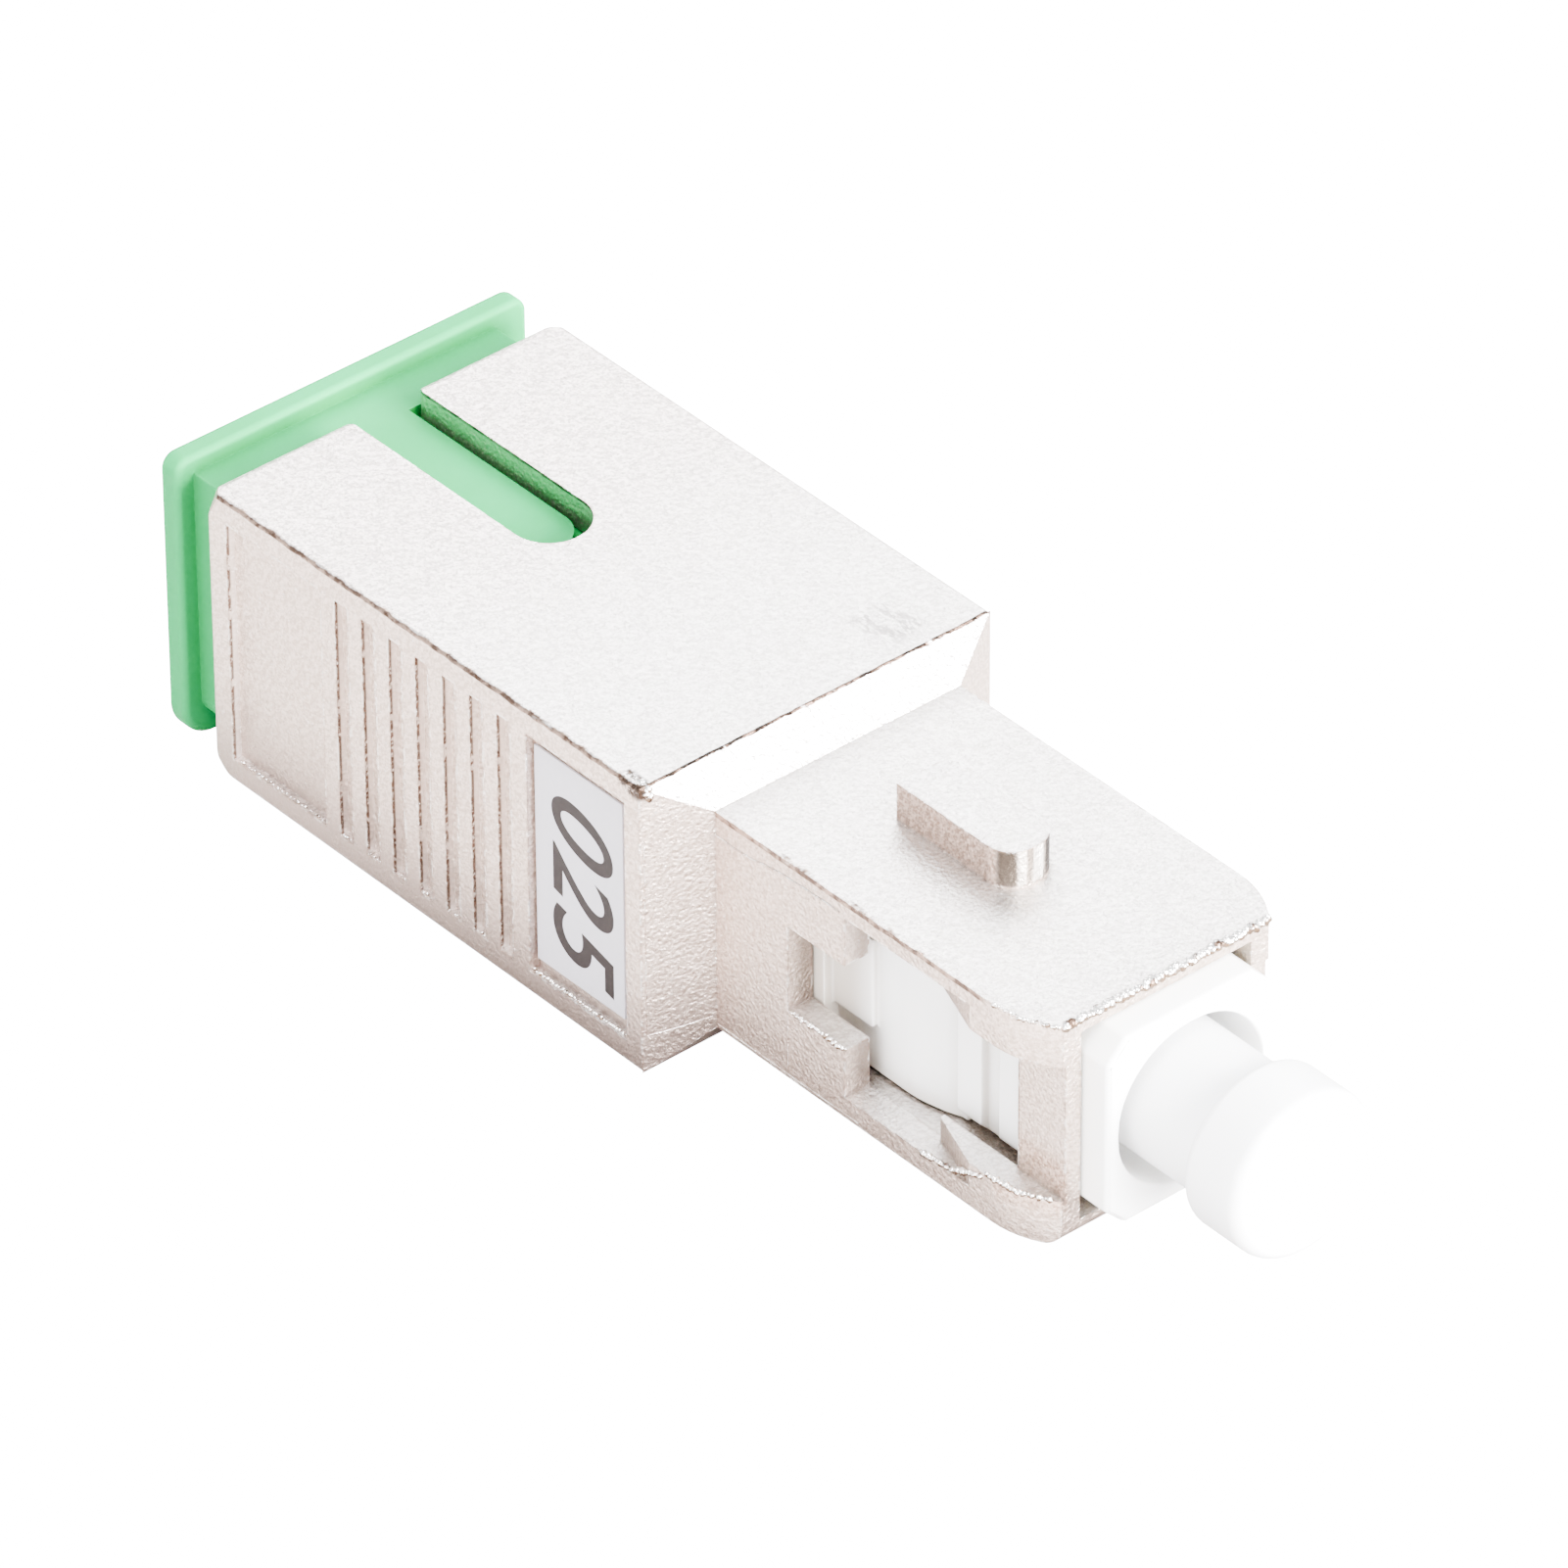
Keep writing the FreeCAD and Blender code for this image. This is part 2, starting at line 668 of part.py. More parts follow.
# Latch moulding: flange, front neck, sleeve barrel and two hooks
latch = new_body("latch_housing")
wide = outline(latch, "latch_flange", "YZ_Plane", "-latch_flange_back", [box(
    "-port_half + slide_gap", "-port_rise + slide_gap", "port_half - slide_gap",
    "port_rise - slide_gap")])
pad(wide, "latch_flange_thick")
front = outline(latch, "latch_neck", "YZ_Plane", "-latch_flange_front - root_in", [box(
    "-bore_half + slide_gap", "-bore_rise + slide_gap", "bore_half - slide_gap",
    "bore_rise - slide_gap")])
pad(front, "latch_flange_front + root_in + latch_front")
ribs = outline(latch, "latch_snaps", "XZ_Plane", "0", [[
    ("-latch_flange_back", "-snap_rise + snap_lead"),
    ("-snap_nose - snap_long", "-snap_rise"),
    ("-snap_nose", "-snap_rise"),
    ("-snap_nose", "snap_rise"),
    ("-snap_nose - snap_long", "snap_rise"),
    ("-latch_flange_back", "snap_rise - snap_lead"),
]])
pad(ribs, "2 * snap_half", both=True)
for name, s in (("hook_left", ""), ("hook_right", "-")):
    arm = outline(latch, name, "XY_Plane", "0", [[
        ("-latch_flange_back + root_in", s + "hook_inner"),
        ("-hook_catch", s + "hook_inner"),
        ("-hook_catch", s + "hook_tip"),
        ("-hook_catch - hook_flat", s + "hook_tip"),
        ("-hook_back", s + "(hook_inner + hook_tip_thick)"),
        ("-hook_back", s + "(hook_outer - hook_break)"),
        ("-hook_back + hook_break", s + "hook_outer"),
        ("-latch_flange_back + root_in", s + "hook_outer"),
    ]])
    pad(arm, "2 * hook_rise", both=True)
barrel = disc(latch, "barrel", "YZ_Plane", "-barrel_back", [("0", "0", "barrel_round")])
pad(barrel, "barrel_back - latch_flange_back + root_in")
nest = disc(latch, "nest", "YZ_Plane", "-barrel_back + barrel_lip", [("0", "0", "sleeve_nest")])
cut(nest, "barrel_back + latch_front")
lip = disc(latch, "barrel_mouth", "YZ_Plane", "-barrel_back - run_out", [("0", "0", "lip_round")])
cut(lip, "barrel_back")

# Alignment sleeve, a tube split along its length
sleeve, shape = round_piece("alignment_sleeve", [
    ("-sleeve_back", "sleeve_inner"),
    ("sleeve_front", "sleeve_inner"),
    ("sleeve_front", "sleeve_outer"),
    ("-sleeve_back", "sleeve_outer"),
])
slit = outline(sleeve, "slit", "YZ_Plane", "-sleeve_back - run_out", [
    box("-sleeve_slit / 2", "0", "sleeve_slit / 2", "sleeve_outer + run_out")])
cut(slit, "sleeve_back + sleeve_front + 2 * run_out")

# Ferrule with a cone and a slanted polish at each end, and the fibre inside it
ferrule, shape = round_piece("ferrule", [
    ("-ferrule_back", "fibre_round + fibre_gap"),
    ("ferrule_front", "fibre_round + fibre_gap"),
    ("ferrule_front", "ferrule_round - ferrule_cone_drop"),
    ("ferrule_front - ferrule_cone", "ferrule_round"),
    ("-ferrule_back + ferrule_cone", "ferrule_round"),
    ("-ferrule_back", "ferrule_round - ferrule_cone_drop"),
])
for name, spot, out, into in (
        ("polish_front", "ferrule_front", " + ", " - "), ("polish_back", "-ferrule_back", " - ", " + ")):
    face = outline(ferrule, name, "XY_Plane", "0", [[
        (spot + into + "ferrule_round * ferrule_face_slant", "-ferrule_round"),
        (spot + out + "run_out", "-ferrule_round"),
        (spot + out + "run_out", "ferrule_round"),
        (spot + out + "ferrule_round * ferrule_face_slant", "ferrule_round"),
    ]])
    cut(face, "4 * ferrule_round", both=True)
round_piece("fibre_stub", [
    ("-ferrule_back + ferrule_cone_drop", "0"),
    ("ferrule_front - ferrule_cone_drop", "0"),
    ("ferrule_front - ferrule_cone_drop", "fibre_round"),
    ("-ferrule_back + ferrule_cone_drop", "fibre_round"),
])

# Collar pressed on the ferrule: front ring with four slots and a tail inside the spring
collar, shape = round_piece("ferrule_collar", [
    ("collar_tail", "ferrule_round"),
    ("collar_front", "ferrule_round"),
    ("collar_front", "collar_round - collar_break"),
    ("collar_front - collar_break", "collar_round"),
    ("spring_front", "collar_round"),
    ("spring_front", "collar_tail_round"),
    ("collar_tail", "collar_tail_round"),
])
keys = outline(collar, "collar_slots", "YZ_Plane", "spring_front - root_in", [
    box("-collar_slot_half", "collar_round - collar_slot_deep", "collar_slot_half", "2 * collar_round"),
    box("-collar_slot_half", "-2 * collar_round", "collar_slot_half", "-collar_round + collar_slot_deep"),
    box("-2 * collar_round", "-collar_slot_half", "-collar_round + collar_slot_deep", "collar_slot_half"),
    box("collar_round - collar_slot_deep", "-collar_slot_half", "2 * collar_round", "collar_slot_half"),
])
cut(keys, "collar_long + 2 * root_in")

# Stop ring that shuts the sleeve in and seats the spring
round_piece("stop_ring", [
    ("latch_front", "ferrule_round + stop_gap"),
    ("stop_front", "ferrule_round + stop_gap"),
    ("stop_front", "stop_round"),
    ("latch_front", "stop_round"),
])

# Spring with its end coils ground flat, its wire drawn with eight sides
spring = new_body("spring")
wire = []
for i in range(8):
    turned = "45 deg * %d + 22.5 deg" % i
    wire.append(("stop_front + spring_wire * cos(%s)" % turned,
                 "spring_mean + spring_wire * sin(%s)" % turned))
wire = outline(spring, "wire", "XY_Plane", "0", [wire])
coil = spring.newObject("PartDesign::AdditiveHelix", "coil")
coil.Profile = wire
coil.ReferenceAxis = (wire, ["H_Axis"])
coil.Mode = "pitch-turns-angle"
coil.setExpression("Pitch", ref("spring_long / spring_turns"))
coil.setExpression("Turns", ref("spring_turns"))
doc.recompute()
for name, start, out in (("grind_back", "stop_front", True), ("grind_front", "spring_front", False)):
    flat = outline(spring, name, "YZ_Plane", start, [
        box("-2 * collar_round", "-2 * collar_round", "2 * collar_round", "2 * collar_round")])
    cut(flat, "run_out", back=out)

# Plug frame, the white moulding: plain at the back, with cut corners in front of the scoops
frame = new_body("plug_frame")
core = outline(frame, "frame_section", "YZ_Plane", "scoop_front", [[
    ("-frame_half", "-frame_rise + frame_corner"),
    ("-frame_half + frame_corner", "-frame_rise"),
    ("frame_half - frame_corner", "-frame_rise"),
    ("frame_half", "-frame_rise + frame_corner"),
    ("frame_half", "frame_rise - frame_corner"),
    ("frame_half - frame_corner", "frame_rise"),
    ("-frame_half + frame_corner", "frame_rise"),
    ("-frame_half", "frame_rise - frame_corner"),
]])
nose = pad(core, "frame_front - scoop_front")
tip = nose.Shape.BoundBox.XMax
soften(nose, lambda b: near(b.XMin, tip), "face_break")
rear = outline(frame, "frame_rear", "YZ_Plane", "latch_front", [
    box("-frame_half", "-frame_rise", "frame_half", "frame_rise")])
pad(rear, "scoop_front - latch_front")
skirt = outline(frame, "frame_skirt", "YZ_Plane", "latch_front", [
    box("-frame_skirt_half", "-frame_rise", "frame_skirt_half", "frame_rise")])
pad(skirt, "stop_long")
lug = outline(frame, "frame_lugs", "XY_Plane", "0", [
    box("stop_front - root_in", "-frame_lug_half", "frame_lug_front", "frame_lug_half")])
pad(lug, "2 * frame_lug_rise", both=True)
scoop_radius = "(scoop_long ^ 2 + (frame_half - scoop_deep) ^ 2) / (2 * (frame_half - scoop_deep))"
for name, s, bulge in (("scoop_left", "", 0.32), ("scoop_right", "-", -0.32)):
    scoop = outline(frame, name, "XY_Plane", "0", [[
        ("scoop_back", s + "frame_half"),
        ("scoop_foot", s + "scoop_deep", scoop_radius, bulge),
        ("scoop_front", s + "scoop_deep"),
        ("scoop_front", s + "(frame_half + run_out)"),
        ("scoop_back", s + "(frame_half + run_out)"),
    ]])
    cut(scoop, "4 * frame_rise", both=True)
    between = outline(frame, "groove" + name[5:], "XY_Plane", "0", [
        box("ridge_front", s + "groove_half", "groove_front", s + "(frame_half + run_out)")])
    cut(between, "4 * frame_rise", both=True)
chamber = disc(frame, "chamber", "YZ_Plane", "latch_front - run_out", [("0", "0", "frame_chamber")])
cut(chamber, "collar_front - latch_front + run_out")
hole = disc(frame, "frame_hole", "YZ_Plane", "collar_front - root_in",
            [("0", "0", "ferrule_round + frame_bore_gap")])
cut(hole, "frame_wall + 2 * root_in")
counter = disc(frame, "counterbore", "YZ_Plane", "frame_wall_front", [("0", "0", "counter_round")])
cut(counter, "counter_deep + run_out")

# Dust cap over the ferrule's tip
round_piece("dust_cap", [
    ("cap_back", "cap_bore"),
    ("cap_bore_front", "cap_bore"),
    ("cap_bore_front", "0"),
    ("cap_front", "0"),
    ("cap_front", "cap_head - cap_edge_front"),
    ("cap_front - cap_edge_front", "cap_head", "cap_edge_front", -1),
    ("cap_head_back + cap_edge_back", "cap_head"),
    ("cap_head_back", "cap_head - cap_edge_back", "cap_edge_back", -1),
    ("cap_head_back", "cap_tube"),
    ("cap_back", "cap_tube"),
])

doc.recompute()
bad = [o.Name for o in doc.Objects if "Invalid" in o.State or "Error" in o.State]
if bad:
    raise RuntimeError("features that failed: " + ", ".join(bad))
for body in doc.Objects:
    if body.TypeId == "PartDesign::Body":
        solid = body.Shape
        if solid.isNull() or not solid.isValid() or len(solid.Solids) != 1:
            raise RuntimeError("not one sound solid: " + body.Label)
        solid.exportStep("parts/" + body.Label + ".step")
        b = solid.BoundBox
        print("%-18s %9.2f  x %.2f %.2f  y %.2f %.2f  z %.2f %.2f" % (
            body.Label, solid.Volume, b.XMin, b.XMax, b.YMin, b.YMax, b.ZMin, b.ZMax))
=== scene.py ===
import bpy
import math
import random
from mathutils import Matrix, Vector


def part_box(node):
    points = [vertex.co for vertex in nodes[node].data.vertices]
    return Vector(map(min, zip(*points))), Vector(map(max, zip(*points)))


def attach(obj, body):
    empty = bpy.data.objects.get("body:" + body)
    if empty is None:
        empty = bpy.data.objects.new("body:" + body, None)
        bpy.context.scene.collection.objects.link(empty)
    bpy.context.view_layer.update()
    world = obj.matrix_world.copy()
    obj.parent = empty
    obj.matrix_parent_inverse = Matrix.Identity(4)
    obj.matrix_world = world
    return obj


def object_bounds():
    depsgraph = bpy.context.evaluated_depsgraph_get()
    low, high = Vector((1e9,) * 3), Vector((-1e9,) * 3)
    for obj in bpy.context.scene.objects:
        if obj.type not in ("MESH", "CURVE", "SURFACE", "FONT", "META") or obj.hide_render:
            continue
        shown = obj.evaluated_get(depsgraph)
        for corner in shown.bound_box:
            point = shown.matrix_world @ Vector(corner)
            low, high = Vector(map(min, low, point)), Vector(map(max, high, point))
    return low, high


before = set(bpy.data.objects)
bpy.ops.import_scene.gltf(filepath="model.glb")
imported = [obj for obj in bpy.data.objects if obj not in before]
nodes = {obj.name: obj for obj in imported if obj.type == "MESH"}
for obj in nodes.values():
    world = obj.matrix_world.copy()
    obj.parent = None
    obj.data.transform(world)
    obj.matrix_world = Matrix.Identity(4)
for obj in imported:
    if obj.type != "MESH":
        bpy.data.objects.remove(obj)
before = [list(corner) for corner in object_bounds()]

MM = 0.001

# Places on the housing, and spans that just cover its parts, in millimetres
LARGE_TOP = 4.85
LARGE_SIDE = 6.44
SMALL_TOP = 3.70
SMALL_SIDE = 4.50
KEY_ROUND = 8.5
KEY_SPAN = (4.4, 9.3)
KEY_SIDE = 1.1
SLOT_FRONT = -10.0
SLOT_SIDE = 1.75
GRIP_SPAN = (-18.6, -5.6)
WINDOW_SPAN = (3.8, 12.7)
WINDOW_RISE = 3.2
NOSE_STRIP = (12.7, 14.5)


# Shader nodes

def math_node(tree, kind, *values):
    node = tree.nodes.new("ShaderNodeMath")
    node.operation = kind
    for socket, value in zip(node.inputs, values):
        if isinstance(value, (int, float)):
            socket.default_value = value
        else:
            tree.links.new(value, socket)
    return node.outputs[0]


def times(tree, *values):
    result = values[0]
    for value in values[1:]:
        result = math_node(tree, "MULTIPLY", result, value)
    return result


def ramp_node(tree, source, low, high, to_low=0.0, to_high=1.0):
    node = tree.nodes.new("ShaderNodeMapRange")
    node.interpolation_type = "SMOOTHSTEP"
    for socket, value in zip(node.inputs, (source, low, high, to_low, to_high)):
        if isinstance(value, (int, float)):
            socket.default_value = value
        else:
            tree.links.new(value, socket)
    return node.outputs[0]


def ramp_mm(tree, place, start, end, to_low=0.0, to_high=1.0):
    """A ramp along a place, with its start and end in millimetres."""
    return ramp_node(tree, place, start * MM, end * MM, to_low, to_high)


def band_mm(tree, place, low, high, soft):
    """One between two places in millimetres, falling to nothing over the soft width outside."""
    return times(tree, ramp_mm(tree, place, low - soft, low), ramp_mm(tree, place, high + soft, high))


def mix_node(tree, factor, a, b):
    node = tree.nodes.new("ShaderNodeMix")
    node.data_type = "RGBA"
    for socket, value in ((node.inputs[0], factor), (node.inputs[6], a), (node.inputs[7], b)):
        if isinstance(value, (int, float)):
            socket.default_value = value
        elif isinstance(value, tuple):
            socket.default_value = (*value, 1.0)
        else:
            tree.links.new(value, socket)
    return node.outputs[2]


def noise_node(tree, place, scale, detail=2.0, rough=0.5):
    node = tree.nodes.new("ShaderNodeTexNoise")
    node.inputs["Scale"].default_value = scale
    node.inputs["Detail"].default_value = detail
    node.inputs["Roughness"].default_value = rough
    tree.links.new(place, node.inputs["Vector"])
    return node.outputs[0]


def bump(tree, height, strength, distance):
    node = tree.nodes.new("ShaderNodeBump")
    node.inputs["Strength"].default_value = strength
    node.inputs["Distance"].default_value = distance
    tree.links.new(height, node.inputs["Height"])
    return node.outputs[0]


def split(tree, vector):
    node = tree.nodes.new("ShaderNodeSeparateXYZ")
    tree.links.new(vector, node.inputs[0])
    return node.outputs


def facing(tree):
    """The three parts of the surface's own normal."""
    return split(tree, tree.nodes.new("ShaderNodeNewGeometry").outputs["Normal"])


def stretched(tree, place, scale):
    node = tree.nodes.new("ShaderNodeMapping")
    node.inputs["Scale"].default_value = scale
    tree.links.new(place, node.inputs["Vector"])
    return node.outputs[0]


def new_material(name):
    made = bpy.data.materials.new(name)
    made.use_nodes = True
    tree = made.node_tree
    shader = tree.nodes["Principled BSDF"]
    place = tree.nodes.new("ShaderNodeTexCoord").outputs["Object"]
    return made, tree, shader, place


# Shader node groups, each built once

def new_group(name, inputs, outputs):
    group = bpy.data.node_groups.new(name, "ShaderNodeTree")
    for label, kind, value in inputs:
        socket = group.interface.new_socket(label, in_out="INPUT", socket_type=kind)
        socket.default_value = value
    for label in outputs:
        group.interface.new_socket(label, in_out="OUTPUT", socket_type="NodeSocketFloat")
    return group, group.nodes.new("NodeGroupInput"), group.nodes.new("NodeGroupOutput")


def use_group(tree, group, place=None, **values):
    node = tree.nodes.new("ShaderNodeGroup")
    node.node_tree = group
    if place is not None:
        tree.links.new(place, node.inputs["Place"])
    for label, value in values.items():
        node.inputs[label].default_value = value
    return node.outputs


def open_space(group, distance):
    node = group.nodes.new("ShaderNodeAmbientOcclusion")
    node.samples = 2
    group.links.new(distance, node.inputs["Distance"])
    return node.outputs["AO"]


def edge_group():
    """Masks of outer edges, inner corners and deep recesses, from a small bevel's turned
    normal and from how much open space lies in front of the surface."""
    group, start, end = new_group(
        "edge and corner mask",
        [("Width", "NodeSocketFloat", 0.1 * MM), ("Reach", "NodeSocketFloat", 0.3 * MM),
         ("Depth", "NodeSocketFloat", 1.5 * MM)],
        ["Edge", "Corner", "Cavity"])
    bevel = group.nodes.new("ShaderNodeBevel")
    bevel.samples = 3
    group.links.new(start.outputs["Width"], bevel.inputs["Radius"])
    plain = group.nodes.new("ShaderNodeNewGeometry")
    dot = group.nodes.new("ShaderNodeVectorMath")
    dot.operation = "DOT_PRODUCT"
    group.links.new(bevel.outputs[0], dot.inputs[0])
    group.links.new(plain.outputs["Normal"], dot.inputs[1])
    turned = math_node(group, "SUBTRACT", 1.0, dot.outputs["Value"])
    free = ramp_node(group, open_space(group, start.outputs["Reach"]), 0.72, 0.95)
    cavity = ramp_node(group, open_space(group, start.outputs["Depth"]), 0.66, 0.12)
    group.links.new(times(group, ramp_node(group, turned, 0.004, 0.045), free), end.inputs["Edge"])
    group.links.new(math_node(group, "SUBTRACT", 1.0, free), end.inputs["Corner"])
    group.links.new(cavity, end.inputs["Cavity"])
    return group


def grain_group():
    """Bead-blasted skin: height, a tone, bright specks, and a relief. The relief is paint: it
    looks lit from the back left whatever the lights do."""
    group, start, end = new_group(
        "blasted grain",
        [("Place", "NodeSocketVector", (0, 0, 0)), ("Scale", "NodeSocketFloat", 9000.0)],
        ["Height", "Tone", "Specks", "Relief"])
    place, scale = start.outputs["Place"], start.outputs["Scale"]
    fine = group.nodes.new("ShaderNodeTexNoise")
    fine.inputs["Detail"].default_value = 3.0
    fine.inputs["Roughness"].default_value = 0.62
    dents = group.nodes.new("ShaderNodeTexVoronoi")
    dents.feature = "SMOOTH_F1"
    for texture in (fine, dents):
        group.links.new(place, texture.inputs["Vector"])
        group.links.new(scale, texture.inputs["Scale"])
    aside = group.nodes.new("ShaderNodeVectorMath")
    aside.operation = "ADD"
    group.links.new(place, aside.inputs[0])
    aside.inputs[1].default_value = (-0.030 * MM, 0.026 * MM, 0.030 * MM)
    here, there = [noise_node(group, spot, 5600.0, 2.0, 0.55) for spot in (place, aside.outputs["Vector"])]
    relief = ramp_node(group, math_node(group, "SUBTRACT", here, there), -0.09, 0.09)
    dent = times(group, dents.outputs["Distance"], 0.45)
    height = math_node(group, "MULTIPLY_ADD", fine.outputs[0], 0.75, dent)
    broad = noise_node(group, place, 420.0, 3.0)
    tone = math_node(group, "MULTIPLY_ADD", broad, 0.2, times(group, fine.outputs[0], 0.8))
    specks = ramp_node(group, fine.outputs[0], 0.63, 0.72)
    for label, value in (("Height", height), ("Tone", tone), ("Specks", specks), ("Relief", relief)):
        group.links.new(value, end.inputs[label])
    return group


EDGE = edge_group()
GRAIN = grain_group()


# The plate, painted part by part from the object's own places and faces

class Plate:
    """The plate's shader tree, with the places and masks that its parts share."""

    def __init__(self, tree, place):
        self.tree, self.place = tree, place
        self.grain = use_group(tree, GRAIN, place, Scale=8200.0)
        self.edge = use_group(tree, EDGE, Width=0.11 * MM, Reach=0.16 * MM)
        self.x, self.y, self.z = split(tree, place)
        self.across = math_node(tree, "ABSOLUTE", self.y)
        normal = facing(tree)
        self.up = ramp_node(tree, normal[2], 0.15, 0.75)
        self.flank = math_node(tree, "SUBTRACT", 1.0, self.up)
        self.to_nose = ramp_node(tree, normal[0], 0.3, 0.8)
        self.broken = noise_node(tree, place, 2600.0, 3.0, 0.65)
        drift = math_node(tree, "SUBTRACT", noise_node(tree, place, 1400.0, 3.0, 0.6), 0.5)
        self.wander = times(tree, drift, 0.13 * MM)
        above = ramp_mm(tree, self.z, SMALL_TOP + 0.02, SMALL_TOP + 0.10)
        self.key = times(tree, self.along(*KEY_SPAN, 0.1), band_mm(tree, self.across, 0.0, KEY_SIDE, 0.05),
                         above, self.flank)
        self.slot = times(tree, ramp_mm(tree, self.x, SLOT_FRONT, SLOT_FRONT - 0.2),
                          band_mm(tree, self.across, 0.0, SLOT_SIDE, 0.05), above, self.flank)
        # Glints are painted highlights in patches along the outer edges
        self.glints = times(tree, self.edge["Edge"], ramp_node(tree, self.broken, 0.50, 0.56))

    def along(self, low, high, soft):
        return band_mm(self.tree, self.x, low, high, soft)

    def patchy(self, dark, light):
        """A tone that changes from patch to patch."""
        return mix_node(self.tree, ramp_node(self.tree, self.broken, 0.4, 0.6), dark, light)


def plate_ground(plate):
    """Pale where it faces up, warmer and darker where it stands upright: painted light on the tops and
    painted shade on the flanks.
    """
    tree = plate.tree
    toward_back = ramp_mm(tree, plate.x, -4.0, -14.0)
    light_top = mix_node(tree, toward_back, (1.0, 0.965, 0.95), (1.0, 0.905, 0.875))
    dark_top = mix_node(tree, toward_back, (0.73, 0.69, 0.675), (0.60, 0.54, 0.52))
    # Painted light and shade: lit tones where the plate faces up, shaded warm tones where it stands upright
    light = mix_node(tree, plate.up, (0.73, 0.595, 0.525), light_top)
    dark = mix_node(tree, plate.up, (0.52, 0.405, 0.345), dark_top)
    # Painted light and shade of the grain's relief, lit from the back left
    base = mix_node(tree, plate.grain["Relief"], dark, light)
    return mix_node(tree, times(tree, plate.grain["Specks"], 0.6), base, (1.0, 0.99, 0.98))


def plate_foot(plate, base):
    """Painted shade: the flanks turn darker and warmer towards their foot."""
    tree = plate.tree
    # Painted shade towards the foot of the flanks
    low = times(tree, ramp_mm(tree, plate.z, -0.8, -4.9), ramp_mm(tree, plate.x, 0.5, 2.0, 1.0, 0.35),
                ramp_mm(tree, plate.x, 8.0, 10.0, 1.0, 0.3), plate.flank)
    return mix_node(tree, times(tree, low, 0.95), base, (0.34, 0.265, 0.235))


def plate_brown(plate, base):
    """Brownish key flanks and lower end of the nose strips."""
    tree = plate.tree
    strip = times(tree, plate.along(*NOSE_STRIP, 0.3), band_mm(tree, plate.z, -2.3, -1.5, 0.9),
                  ramp_mm(tree, plate.across, 3.4, 3.6), plate.flank)
    brown = times(tree, math_node(tree, "MAXIMUM", plate.key, strip),
                  ramp_node(tree, plate.grain["Tone"], 0.3, 0.7, 1.0, 0.7))
    # The brown also carries the grain's painted relief light and shade
    tone = mix_node(tree, plate.grain["Relief"], (0.30, 0.19, 0.14), (0.62, 0.44, 0.36))
    return mix_node(tree, brown, base, tone)


def plate_key_front(plate, base):
    """Upright bands of paint in place of what the key's rounded front mirrors."""
    tree = plate.tree
    swayed = math_node(tree, "MULTIPLY_ADD", plate.wander, 1.8, plate.y)
    front = times(tree, plate.key, ramp_mm(tree, plate.x, KEY_ROUND, KEY_ROUND + 0.25))
    base = mix_node(tree, front, base, (0.26, 0.22, 0.19))
    bands = (
        # from, to, soft width, tone
        (-1.10, -0.62, 0.10, (0.045, 0.034, 0.026)),
        (-0.50, -0.36, 0.08, (0.50, 0.45, 0.40)),
        (-0.27, -0.16, 0.06, (0.07, 0.055, 0.045)),
        (-0.04, 0.26, 0.08, (0.80, 0.75, 0.71)),
        (0.46, 1.00, 0.10, (0.022, 0.017, 0.014)),
    )
    for start, end, soft, tone in bands:
        base = mix_node(tree, times(tree, front, band_mm(tree, swayed, start, end, soft)), base, tone)
    return base


def plate_grip(plate, base):
    """Painted shade in the inner corners outside the grip panel. In it, groove walls that face the nose are
    painted light, with a thin dark line at their upper edge."""
    tree = plate.tree
    grip = plate.along(*GRIP_SPAN, 0.1)
    outside = math_node(tree, "SUBTRACT", 1.0, grip)
    line = times(tree, grip, plate.to_nose, ramp_mm(tree, plate.across, LARGE_SIDE - 0.14, LARGE_SIDE - 0.08),
                 ramp_node(tree, plate.broken, 0.36, 0.46))
    # Painted shade in inner corners outside the grip panel
    base = mix_node(tree, times(tree, plate.edge["Corner"], outside, 0.45), base, (0.30, 0.235, 0.205))
    base = mix_node(tree, times(tree, grip, plate.to_nose, 0.8), base, (1.0, 0.96, 0.94))
    return mix_node(tree, line, base, (0.13, 0.095, 0.075))


def plate_recesses(plate, base):
    """Painted shade in the windows and the nose, and green paint on the slot's walls in place of the
    light that the plug throws on them."""
    tree = plate.tree
    recess = times(tree, plate.edge["Cavity"], ramp_mm(tree, plate.x, 0.5, 1.0, 0.0, 0.95))
    shade = mix_node(tree, ramp_mm(tree, plate.x, 8.5, 9.5), (0.13, 0.095, 0.08), (0.34, 0.29, 0.24))
    window = times(tree, ramp_mm(tree, plate.across, SMALL_SIDE - 0.03, SMALL_SIDE - 0.70),
                   plate.along(*WINDOW_SPAN, 0.03),
                   band_mm(tree, math_node(tree, "ABSOLUTE", plate.z), 0.0, WINDOW_RISE, 0.05), plate.flank)
    # Painted shade in the nose's recesses and in the windows
    base = mix_node(tree, recess, base, shade)
    base = mix_node(tree, times(tree, window, 0.85), base, (0.20, 0.155, 0.13))
    # Painted light: the plug's green thrown on the slot's walls
    return mix_node(tree, times(tree, plate.slot, 0.8), base, (0.36, 0.54, 0.36))


def plate_edges(plate, base):
    """Brown in patches along the outer edges, broken by painted glints."""
    tree = plate.tree
    brown = times(tree, plate.edge["Edge"], ramp_node(tree, plate.broken, 0.56, 0.46), 0.7)
    base = mix_node(tree, brown, base, (0.24, 0.15, 0.11))
    # Painted glints: bright highlights in patches along the outer edges
    return mix_node(tree, plate.glints, base, (1.0, 0.985, 0.96))


